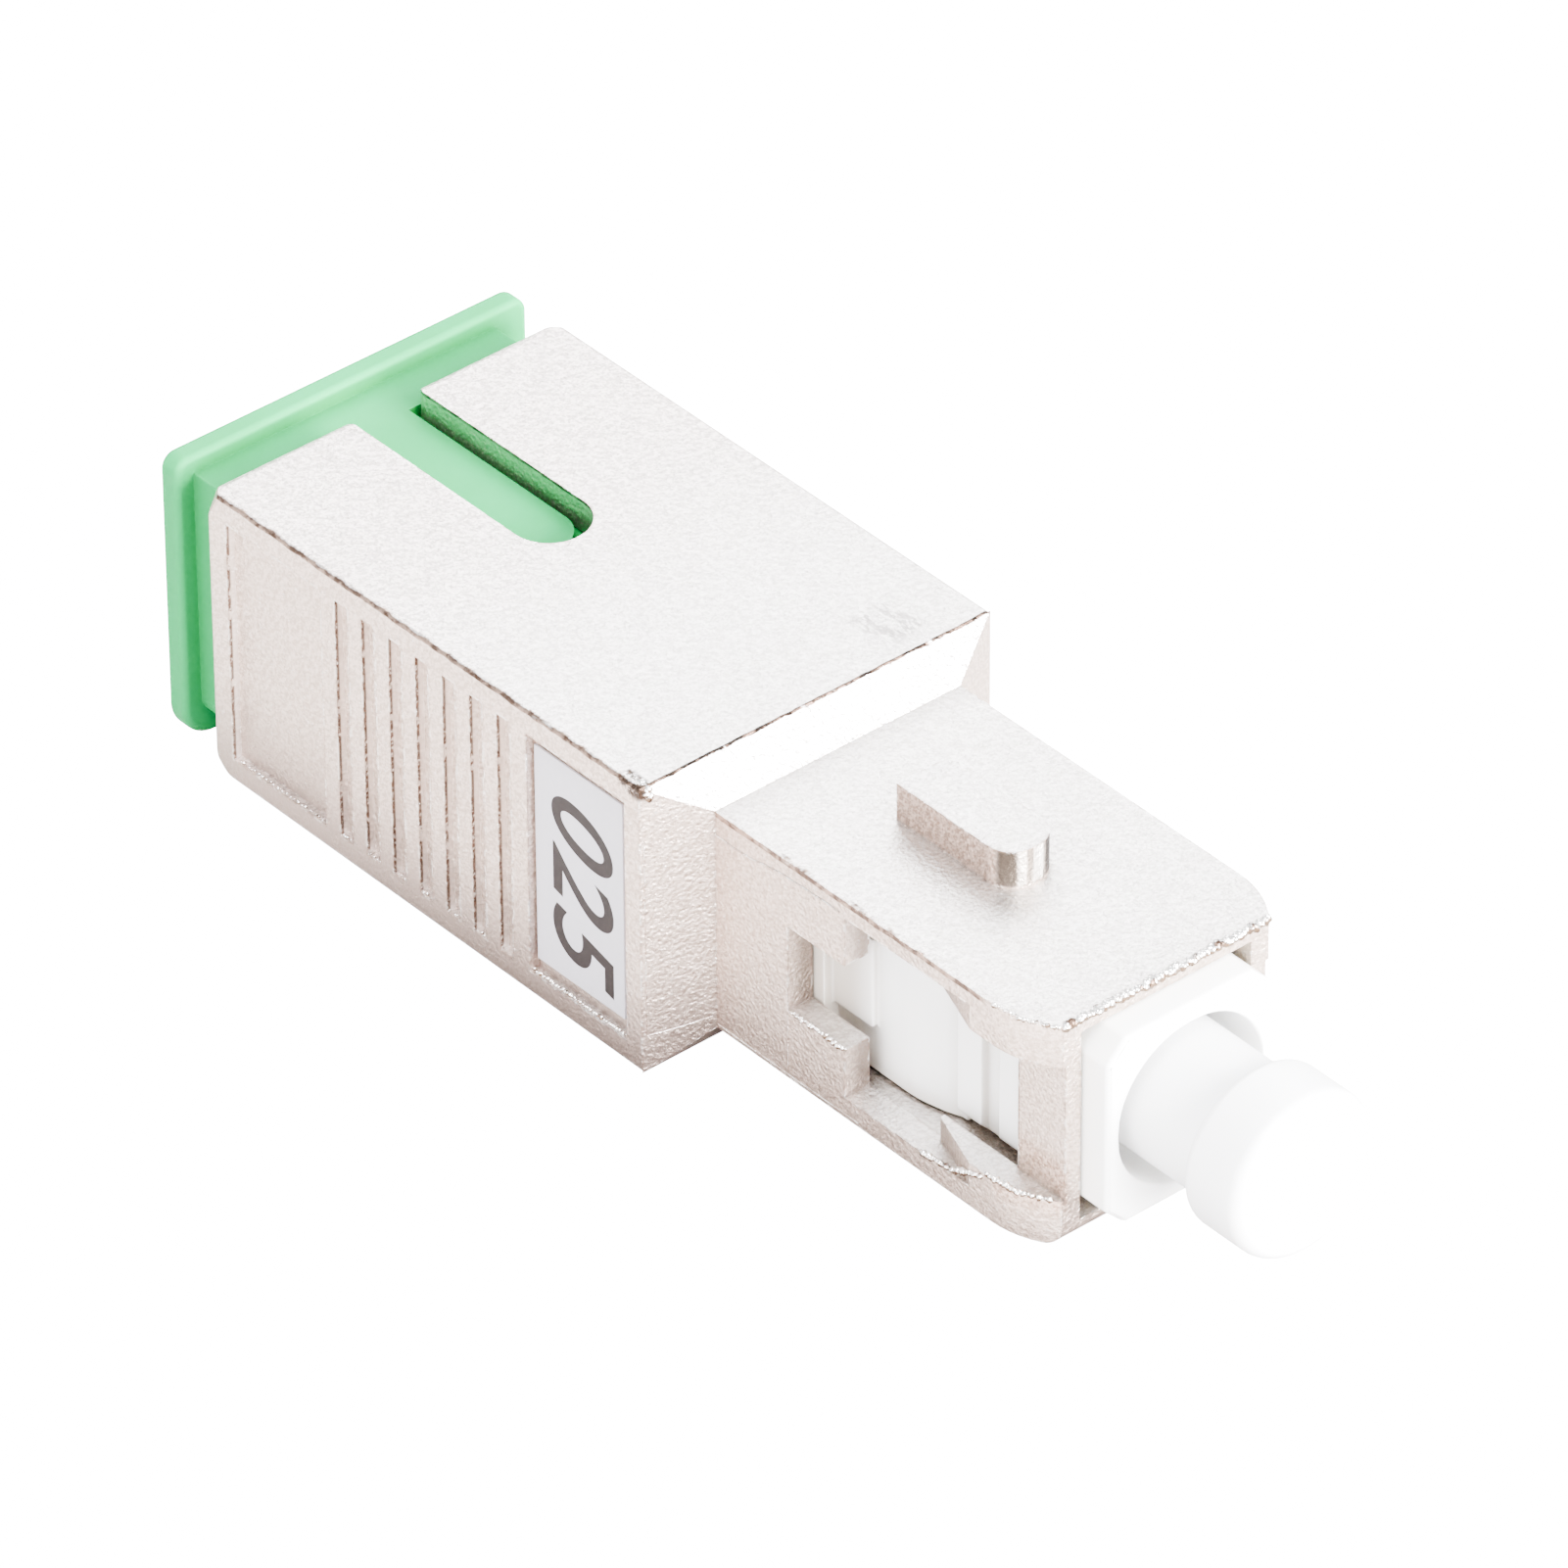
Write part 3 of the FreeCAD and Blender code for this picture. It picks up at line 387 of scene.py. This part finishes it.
def plate_dark_lines(plate, base):
    """Thin wandering dark lines along the near top rims, the slope's top edge and far mitre, and the
    slot's rim."""
    tree, x, y, z = plate.tree, plate.x, plate.y, plate.z
    streaks = noise_node(tree, stretched(tree, plate.place, (0.3, 1.0, 1.0)), 1700.0, 3.0, 0.6)
    dashes = ramp_node(tree, streaks, 0.30, 0.40)
    height = math_node(tree, "ADD", z, plate.wander)
    depth = math_node(tree, "ADD", x, plate.wander)
    back_rim = times(tree, ramp_mm(tree, y, 0.19 - LARGE_SIDE, 0.14 - LARGE_SIDE),
                     band_mm(tree, height, LARGE_TOP - 0.10, LARGE_TOP - 0.02, 0.02))
    front_rim = times(tree, ramp_mm(tree, x, 0.9, 1.0), ramp_mm(tree, x, 12.4, 12.0),
                      ramp_mm(tree, y, 0.20 - SMALL_SIDE, 0.12 - SMALL_SIDE),
                      band_mm(tree, height, SMALL_TOP - 0.17, SMALL_TOP - 0.02, 0.02))
    slot_rim = times(tree, plate.slot, band_mm(tree, height, LARGE_TOP - 0.09, LARGE_TOP + 0.01, 0.03))
    slope_rim = times(tree, band_mm(tree, depth, -0.05, 0.03, 0.02),
                      ramp_mm(tree, z, LARGE_TOP - 0.13, LARGE_TOP - 0.09))
    mitre = times(tree, plate.along(0.02, 0.9, 0.05), ramp_mm(tree, y, 4.2, 4.4), plate.edge["Edge"])
    rims = math_node(tree, "MAXIMUM", math_node(tree, "MAXIMUM", back_rim, front_rim), slot_rim)
    edge_lines = math_node(tree, "MAXIMUM", times(tree, slope_rim, dashes), mitre)
    edge_line_tone = plate.patchy((0.006, 0.004, 0.003), (0.10, 0.06, 0.045))
    rim_tone = plate.patchy((0.09, 0.055, 0.04), (0.34, 0.235, 0.185))
    # Dark lines along the slope's top edge and its far mitre
    base = mix_node(tree, edge_lines, base, edge_line_tone)
    return mix_node(tree, times(tree, rims, dashes), base, rim_tone)


def plate_corner_patch(plate, base):
    """Dark patch between the beads of the near corner."""
    tree = plate.tree
    dark_patch = times(tree, plate.along(-0.85, 0.1, 0.12), ramp_mm(tree, plate.y, -5.9, -6.06),
                 ramp_mm(tree, plate.z, 4.3, 4.55), ramp_node(tree, plate.broken, 0.44, 0.54))
    return mix_node(tree, dark_patch, base, (0.045, 0.028, 0.02))


def plate_scuff(plate, base):
    """Scuffed spot on top near the slope."""
    tree = plate.tree
    streaks = noise_node(tree, stretched(tree, plate.place, (1.0, 2.5, 1.0)), 2200.0, 4.0, 0.7)
    scuff = times(tree, plate.along(-2.0, -0.9, 0.8), band_mm(tree, plate.y, 3.5, 4.3, 0.8), plate.up,
                  ramp_node(tree, streaks, 0.47, 0.57), 0.75)
    return mix_node(tree, scuff, base, (0.3, 0.27, 0.27))


def plated_material():
    """Bead-blasted nickel plate."""
    made, tree, shader, place = new_material("blasted nickel plate")
    plate = Plate(tree, place)
    base = plate_ground(plate)
    for paint in (plate_foot, plate_brown, plate_key_front, plate_grip, plate_recesses, plate_edges,
                  plate_dark_lines, plate_corner_patch, plate_scuff):
        base = paint(plate, base)
    rough = math_node(tree, "SUBTRACT", ramp_node(tree, plate.grain["Tone"], 0.3, 0.7, 0.42, 0.30),
                      times(tree, plate.glints, 0.15))
    tree.links.new(base, shader.inputs["Base Color"])
    tree.links.new(rough, shader.inputs["Roughness"])
    tree.links.new(bump(tree, plate.grain["Height"], 1.0, 0.05 * MM), shader.inputs["Normal"])
    shader.inputs["Metallic"].default_value = 1.0
    return made


# The other materials

def plastic_material(name, low, high, rough, scatter, radius, coat=0.0, gloss=0.5,
                     deep=None, deep_front=None, flank=None):
    """Moulded plastic with a slow tone change, a fine skin, painted highlights on its edges, and light under
    its surface; deep is the painted shade colour that inner corners and recesses turn to, deep_front the same
    at the nose, and flank the painted shade colour of faces that stand upright."""
    made, tree, shader, place = new_material(name)
    broad = noise_node(tree, place, 260.0, 3.0)
    fine = noise_node(tree, place, 2500.0, 4.0, 0.6)
    edge = use_group(tree, EDGE, Width=0.15 * MM, Reach=0.7 * MM)
    base = mix_node(tree, ramp_node(tree, broad, 0.3, 0.7), low, high)
    # Painted shade on faces that stand upright
    if flank is not None:
        level = math_node(tree, "ABSOLUTE", facing(tree)[2])
        base = mix_node(tree, ramp_node(tree, level, 0.6, 0.2), base, flank)
    if deep is not None:
        # Painted shade in inner corners and recesses
        inner = math_node(tree, "MAXIMUM", times(tree, edge["Corner"], 0.6), edge["Cavity"])
        tone = deep
        if deep_front is not None:
            x = split(tree, place)[0]
            tone = mix_node(tree, ramp_mm(tree, x, 12.0, 14.0), deep, deep_front)
            # Painted shade towards the rear end of the frame
            inner = math_node(tree, "MAXIMUM", inner, ramp_mm(tree, x, 6.8, 5.0, 0.0, 0.85))
        base = mix_node(tree, inner, base, tone)
    # Painted highlight along the outer edges
    edge_highlight = tuple(min(1.0, c * 1.12 + 0.02) for c in high)
    base = mix_node(tree, times(tree, edge["Edge"], 0.35), base, edge_highlight)
    tree.links.new(base, shader.inputs["Base Color"])
    tree.links.new(ramp_node(tree, fine, 0.25, 0.75, rough + 0.05, rough - 0.05), shader.inputs["Roughness"])
    tree.links.new(bump(tree, fine, 0.12, 0.02 * MM), shader.inputs["Normal"])
    shader.inputs["Subsurface Weight"].default_value = scatter
    shader.inputs["Subsurface Radius"].default_value = radius
    shader.inputs["Subsurface Scale"].default_value = 0.6 * MM
    shader.inputs["Coat Weight"].default_value = coat
    shader.inputs["Specular IOR Level"].default_value = gloss
    return made


def bright_metal(name, low, high, rough):
    made, tree, shader, place = new_material(name)
    fine = noise_node(tree, place, 3000.0, 3.0)
    tree.links.new(mix_node(tree, fine, low, high), shader.inputs["Base Color"])
    tree.links.new(ramp_node(tree, fine, 0.3, 0.7, rough + 0.06, rough - 0.06), shader.inputs["Roughness"])
    shader.inputs["Metallic"].default_value = 1.0
    return made


def bead_material():
    """Bright plate with brown patches, and painted shade on the undersides."""
    made, tree, shader, place = new_material("plating beads")
    patch = noise_node(tree, place, 2400.0, 2.0, 0.6)
    shade = mix_node(tree, ramp_node(tree, patch, 0.36, 0.48), (0.10, 0.062, 0.045), (1.0, 0.985, 0.97))
    # Painted shade on the undersides
    under = ramp_node(tree, facing(tree)[2], 0.55, 0.05)
    tree.links.new(mix_node(tree, under, shade, (0.15, 0.095, 0.06)), shader.inputs["Base Color"])
    tree.links.new(ramp_node(tree, patch, 0.3, 0.7, 0.3, 0.18), shader.inputs["Roughness"])
    shader.inputs["Metallic"].default_value = 1.0
    return made


def label_material():
    made, tree, shader, place = new_material("label card")
    fibre = noise_node(tree, place, 4200.0, 4.0, 0.6)
    card = mix_node(tree, fibre, (0.37, 0.36, 0.40), (0.42, 0.41, 0.455))
    tree.links.new(card, shader.inputs["Base Color"])
    tree.links.new(ramp_node(tree, fibre, 0.3, 0.7, 0.5, 0.4), shader.inputs["Roughness"])
    tree.links.new(bump(tree, fibre, 0.1, 0.01 * MM), shader.inputs["Normal"])
    return made


def ink_material():
    made, tree, shader, place = new_material("label ink")
    fine = noise_node(tree, place, 5200.0, 3.0)
    ink = mix_node(tree, fine, (0.010, 0.007, 0.007), (0.018, 0.013, 0.013))
    tree.links.new(ink, shader.inputs["Base Color"])
    shader.inputs["Roughness"].default_value = 0.6
    shader.inputs["Specular IOR Level"].default_value = 0.15
    return made


PLATED = plated_material()
# Painted shade colour for the mouldings' inner corners and recesses
RECESS_SHADE = (0.34, 0.29, 0.24)
ZIRCONIA = plastic_material("zirconia", (0.88, 0.88, 0.86), (0.94, 0.94, 0.93), 0.15, 0.2, (1.0, 0.95, 0.9))
# The deep, deep_front and flank colours below are painted shade
MATERIALS = {
    "housing": PLATED,
    "label": label_material(),
    "dust_plug": plastic_material(
        "soft green", (0.0, 0.26, 0.074), (0.0, 0.30, 0.09), 0.5, 0.1, (0.1, 1.0, 0.35),
        gloss=0.05, deep=(0.0, 0.09, 0.01), flank=(0.0, 0.215, 0.06)),
    "plug_frame": plastic_material(
        "white moulding", (0.90, 0.90, 0.905), (0.95, 0.95, 0.955), 0.4, 0.25, (1.0, 0.95, 0.85),
        deep=RECESS_SHADE, deep_front=(0.96, 0.95, 0.90)),
    "latch_housing": plastic_material(
        "ivory moulding", (0.80, 0.79, 0.72), (0.86, 0.85, 0.79), 0.45, 0.2, (1.0, 0.9, 0.8),
        deep=RECESS_SHADE, deep_front=(0.80, 0.78, 0.72)),
    "dust_cap": plastic_material(
        "cloudy cap", (0.92, 0.93, 0.97), (0.955, 0.965, 1.0), 0.35, 0.5, (0.9, 0.95, 1.0), coat=0.15),
    "ferrule": ZIRCONIA,
    "alignment_sleeve": ZIRCONIA,
    "fibre_stub": ZIRCONIA,
    "ferrule_collar": bright_metal("nickel on brass", (0.62, 0.58, 0.5), (0.76, 0.72, 0.64), 0.25),
    "stop_ring": bright_metal("steel ring", (0.52, 0.52, 0.54), (0.66, 0.66, 0.68), 0.25),
    "spring": bright_metal("spring wire", (0.5, 0.5, 0.52), (0.7, 0.7, 0.72), 0.22),
}
for name, node in nodes.items():
    node.data.materials.clear()
    node.data.materials.append(MATERIALS[name])


def soften(node, width):
    """Rounds a CAD node's sharp edges with modifiers only."""
    weld = node.modifiers.new("weld", "WELD")
    weld.merge_threshold = 0.002 * MM
    bevel = node.modifiers.new("soft edges", "BEVEL")
    bevel.width = width * MM
    bevel.segments = 3
    bevel.limit_method = "ANGLE"
    bevel.angle_limit = math.radians(28)
    bevel.use_clamp_overlap = True
    bevel.harden_normals = False


for name, width in (("housing", 0.08), ("plug_frame", 0.12), ("dust_plug", 0.12), ("label", 0.02)):
    soften(nodes[name], width)


# Small leavings of the casting and plating: proud parting seams and strings of beads

def place_on_housing(piece, material):
    bpy.ops.object.transform_apply(location=True, rotation=True, scale=True)
    piece.data.materials.clear()
    piece.data.materials.append(material)
    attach(piece, "housing")


def seam(name, points, wobble, thick):
    """A thin proud line along points in millimetres, wandering a little up and down."""
    bpy.ops.object.select_all(action="DESELECT")
    bpy.ops.curve.primitive_nurbs_path_add(location=(0, 0, 0))
    line = bpy.context.object
    line.name = name
    way = []
    for start, end in zip(points, points[1:]):
        for step in range(4):
            way.append(Vector(start).lerp(Vector(end), step / 4))
    way.append(Vector(points[-1]))
    spline = line.data.splines[0]
    spline.points.add(len(way) - len(spline.points))
    for count, (point, place) in enumerate(zip(spline.points, way)):
        drift = wobble * math.sin(2.3 * count) * (1.0 if count % 3 else 0.4)
        point.co = (place.x * MM, place.y * MM, (place.z + drift) * MM, 1.0)
    line.data.bevel_depth = thick * MM
    line.data.bevel_resolution = 1
    line.data.resolution_u = 3
    line.data.use_fill_caps = True
    bpy.ops.object.convert(target="MESH")
    place_on_housing(line, PLATED)


def beads(name, points, count, low, high, spread, seed):
    """A string of small uneven plating beads along points in millimetres."""
    dice = random.Random(seed)
    bpy.ops.object.select_all(action="DESELECT")
    bpy.ops.mesh.primitive_ico_sphere_add(subdivisions=2, radius=MM, location=(0, 0, 0))
    first = bpy.context.object
    bpy.ops.object.mode_set(mode="EDIT")
    bpy.ops.mesh.select_all(action="SELECT")
    bpy.ops.transform.vertex_random(offset=0.16 * MM, uniform=0.5, normal=1.0, seed=seed)
    bpy.ops.object.mode_set(mode="OBJECT")
    string = [first]
    for _ in range(1, count):
        bpy.ops.object.select_all(action="DESELECT")
        first.select_set(True)
        bpy.context.view_layer.objects.active = first
        bpy.ops.object.duplicate()
        string.append(bpy.context.object)
    for step, bead in enumerate(string):
        way = (step + dice.uniform(0.1, 0.9)) / count * (len(points) - 1)
        start = Vector(points[int(way)])
        at = start.lerp(Vector(points[int(way) + 1]), way - int(way))
        bead.location = (at + Vector([dice.uniform(-s, s) for s in spread])) * MM
        bead.rotation_euler = (dice.uniform(0, 6.0), dice.uniform(0, 6.0), dice.uniform(0, 6.0))
        size = dice.uniform(low, high)
        bead.scale = (size * dice.uniform(1.0, 1.3), size, size * dice.uniform(0.8, 1.0))
    bpy.ops.object.select_all(action="DESELECT")
    for bead in string:
        bead.select_set(True)
    bpy.context.view_layer.objects.active = first
    bpy.ops.object.join()
    first.name = name
    bpy.ops.object.shade_smooth()
    place_on_housing(first, BEAD)


BEAD = bead_material()

# name, points, wobble and thickness, all in millimetres
SEAMS = (
    ("seam_side_top", ((1.0, -4.5, 2.89), (2.2, -4.5, 2.9), (3.6, -4.5, 3.14), (4.9, -4.5, 3.2),
                       (6.2, -4.5, 3.22)), 0.04, 0.03),
    ("seam_side_foot", ((0.97, -4.5, -3.66), (3.5, -4.5, -3.67), (7.0, -4.5, -3.66)), 0.01, 0.025),
    ("seam_side_upright", ((4.0, -4.5, -1.6), (4.0, -4.5, -2.6), (4.0, -4.5, -3.55)), 0.0, 0.02),
    ("seam_slope_foot", ((0.06, -6.32, -3.71), (0.48, -5.46, -3.58), (0.9, -4.6, -3.38)), 0.01, 0.015),
    ("seam_slope_upright", ((0.06, -6.32, 3.3), (0.06, -6.32, 0.0), (0.06, -6.32, -3.7)), 0.0, 0.02),
)
for row in SEAMS:
    seam(*row)

# name, points, count, smallest and largest radius, spread and seed, with lengths in millimetres
STRINGS = (
    ("beads_corner", ((-0.75, -6.17, 4.75), (0.05, -6.15, 4.75)), 9, 0.115, 0.14, (0.03, 0.03, 0.01), 3),
    ("beads_corner_low", ((0.02, -6.18, 4.7), (0.16, -6.17, 4.45)), 4, 0.11, 0.14, (0.03, 0.02, 0.03), 4),
    ("beads_nest", ((-4.9, -6.32, -4.19), (-0.8, -6.32, -4.19)), 44, 0.04, 0.065, (0.0, 0.01, 0.03), 5),
    ("beads_panel", ((-18.0, -6.345, -4.2), (-6.2, -6.345, -4.2)), 80, 0.025, 0.052, (0.0, 0.01, 0.02), 7),
    ("beads_window", ((4.15, -4.48, -1.45), (6.4, -4.48, -1.45)), 26, 0.05, 0.095, (0.0, 0.03, 0.02), 9),
    ("beads_cam", ((9.6, -4.5, -3.1), (10.8, -4.5, -3.0), (12.2, -4.5, -2.42)),
     26, 0.06, 0.11, (0.0, 0.02, 0.02), 11),
    ("beads_ledge", ((12.3, -4.49, -2.3), (13.4, -4.37, -2.3), (14.4, -3.89, -2.3)),
     22, 0.06, 0.115, (0.0, 0.02, 0.02), 13),
    ("beads_nose_curve", ((12.5, -4.48, 3.66), (13.5, -4.33, 3.66), (14.5, -3.83, 3.66)),
     36, 0.04, 0.075, (0.01, 0.02, 0.02), 15),
    ("beads_nose_front", ((14.57, -3.74, 3.65), (14.57, 3.74, 3.65)), 70, 0.1, 0.155, (0.02, 0.0, 0.03), 17),
)
for row in STRINGS:
    beads(*row)


def label_print():
    """Plain digits reading downward, a thin film on the card."""
    label_low, label_high = [Vector(corner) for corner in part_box("label")]
    bpy.ops.object.select_all(action="DESELECT")
    bpy.ops.object.text_add(location=(0, 0, 0))
    digits = bpy.context.object
    digits.name = "label_digits"
    digits.data.body = "025"
    digits.data.size = 3.7 * MM
    digits.data.offset = 0.03 * MM
    digits.data.shear = 0.28
    digits.data.space_character = 1.08
    digits.data.align_x = "CENTER"
    digits.data.align_y = "CENTER"
    digits.data.extrude = 0.004 * MM
    bpy.ops.object.convert(target="MESH")
    across, down, out = Vector((0, 0, -1)), Vector((1, 0, 0)), Vector((0, -1, 0))
    middle = (label_low + label_high) / 2
    middle.y = label_low.y
    digits.matrix_world = Matrix.Translation(middle) @ Matrix((across, down, out)).transposed().to_4x4()
    bpy.ops.object.transform_apply(location=True, rotation=True, scale=True)
    digits.data.materials.append(ink_material())
    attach(digits, "housing")


label_print()


# Stage

def floor_material():
    """White to the camera, by a glow that only camera rays see. The base colour is pale, but dark in a
    painted shadow round the object, so that the floor throws little light on its flanks."""
    made, tree, shader, place = new_material("pale floor")
    patch_long, patch_wide, glow = 21.0 * MM, 8.0 * MM, 18.0
    pale = mix_node(tree, noise_node(tree, place, 30.0), (0.75, 0.72, 0.705), (0.78, 0.75, 0.735))
    reach = tree.nodes.new("ShaderNodeVectorMath")
    reach.operation = "LENGTH"
    tree.links.new(stretched(tree, place, (1 / patch_long, 1 / patch_wide, 0.0)), reach.inputs[0])
    outside = ramp_node(tree, reach.outputs["Value"], 0.75, 1.35)
    # Painted shadow: a dark patch round the object
    tree.links.new(mix_node(tree, outside, (0.12, 0.10, 0.095), pale), shader.inputs["Base Color"])
    shader.inputs["Roughness"].default_value = 0.9
    shader.inputs["Specular IOR Level"].default_value = 0.0
    seen = tree.nodes.new("ShaderNodeLightPath").outputs["Is Camera Ray"]
    shader.inputs["Emission Color"].default_value = (1.0, 1.0, 1.0, 1.0)
    tree.links.new(times(tree, seen, glow), shader.inputs["Emission Strength"])
    return made


def stage_floor():
    bpy.ops.object.select_all(action="DESELECT")
    bpy.ops.mesh.primitive_plane_add(size=4.0, location=(0, 0, before[0][2] - 0.01 * MM))
    floor = bpy.context.object
    floor.name = "floor"
    floor.data.materials.append(floor_material())


def studio_sky():
    """White all round, brighter towards the horizon."""
    world = bpy.data.worlds.new("studio")
    world.use_nodes = True
    sky = world.node_tree
    height = split(sky, sky.nodes.new("ShaderNodeTexCoord").outputs["Generated"])[2]
    sky.links.new(ramp_node(sky, height, 0.0, 0.6, 2.9, 1.7), sky.nodes["Background"].inputs["Strength"])
    sky.nodes["Background"].inputs["Color"].default_value = (1.0, 1.0, 1.0, 1.0)
    bpy.context.scene.world = world


def area_light(name, toward, distance, size, watts):
    """A square soft box standing off the object in a given direction."""
    away = Vector(toward).normalized() * distance
    bpy.ops.object.light_add(type="AREA", location=away)
    lamp = bpy.context.object
    lamp.name = name
    lamp.data.size = size
    lamp.data.energy = watts
    lamp.rotation_mode = "QUATERNION"
    lamp.rotation_quaternion = (-away).to_track_quat("-Z", "Y")


stage_floor()
studio_sky()
area_light("back light", (-0.61, 0.52, 0.62), 0.45, 0.26, 2.8)
area_light("top light", (0.25, -0.35, 1.0), 0.45, 0.20, 5.5)
area_light("slope light", (0.70, 0.52, 0.49), 0.45, 0.22, 8.0)
area_light("front light", (1.0, 0.15, 0.25), 0.45, 0.30, 38.0)
area_light("side light", (0.3, -1.0, 0.3), 0.45, 0.30, 4.0)

# Camera, solved from the photo's edges: degrees, metres, and pixels of the photo
AZIMUTH, ELEVATION, ROLL = 49.564, 36.438, -0.324
TO_RIGHT, UPWARD, DISTANCE = -0.000912, 0.001551, 0.383297
PHOTO_WIDTH, FOCAL_LENGTH = 1601.0, 14000.0
SENSOR = 36.0


def photo_camera():
    azimuth, elevation, roll = math.radians(AZIMUTH), math.radians(ELEVATION), math.radians(ROLL)
    back = Vector((math.sin(azimuth) * math.cos(elevation), -math.cos(azimuth) * math.cos(elevation),
                   math.sin(elevation)))
    level = Vector((math.cos(azimuth), math.sin(azimuth), 0.0))
    upright = back.cross(level)
    right = level * math.cos(roll) + upright * math.sin(roll)
    up = upright * math.cos(roll) - level * math.sin(roll)
    lens = bpy.data.cameras.new("photo camera")
    lens.sensor_width = SENSOR
    lens.lens = SENSOR * FOCAL_LENGTH / PHOTO_WIDTH
    lens.clip_start = 0.01
    lens.clip_end = 20.0
    camera = bpy.data.objects.new("photo camera", lens)
    bpy.context.scene.collection.objects.link(camera)
    place = right * TO_RIGHT + up * UPWARD + back * DISTANCE
    camera.matrix_world = Matrix.Translation(place) @ Matrix((right, up, back)).transposed().to_4x4()
    bpy.context.scene.camera = camera


photo_camera()
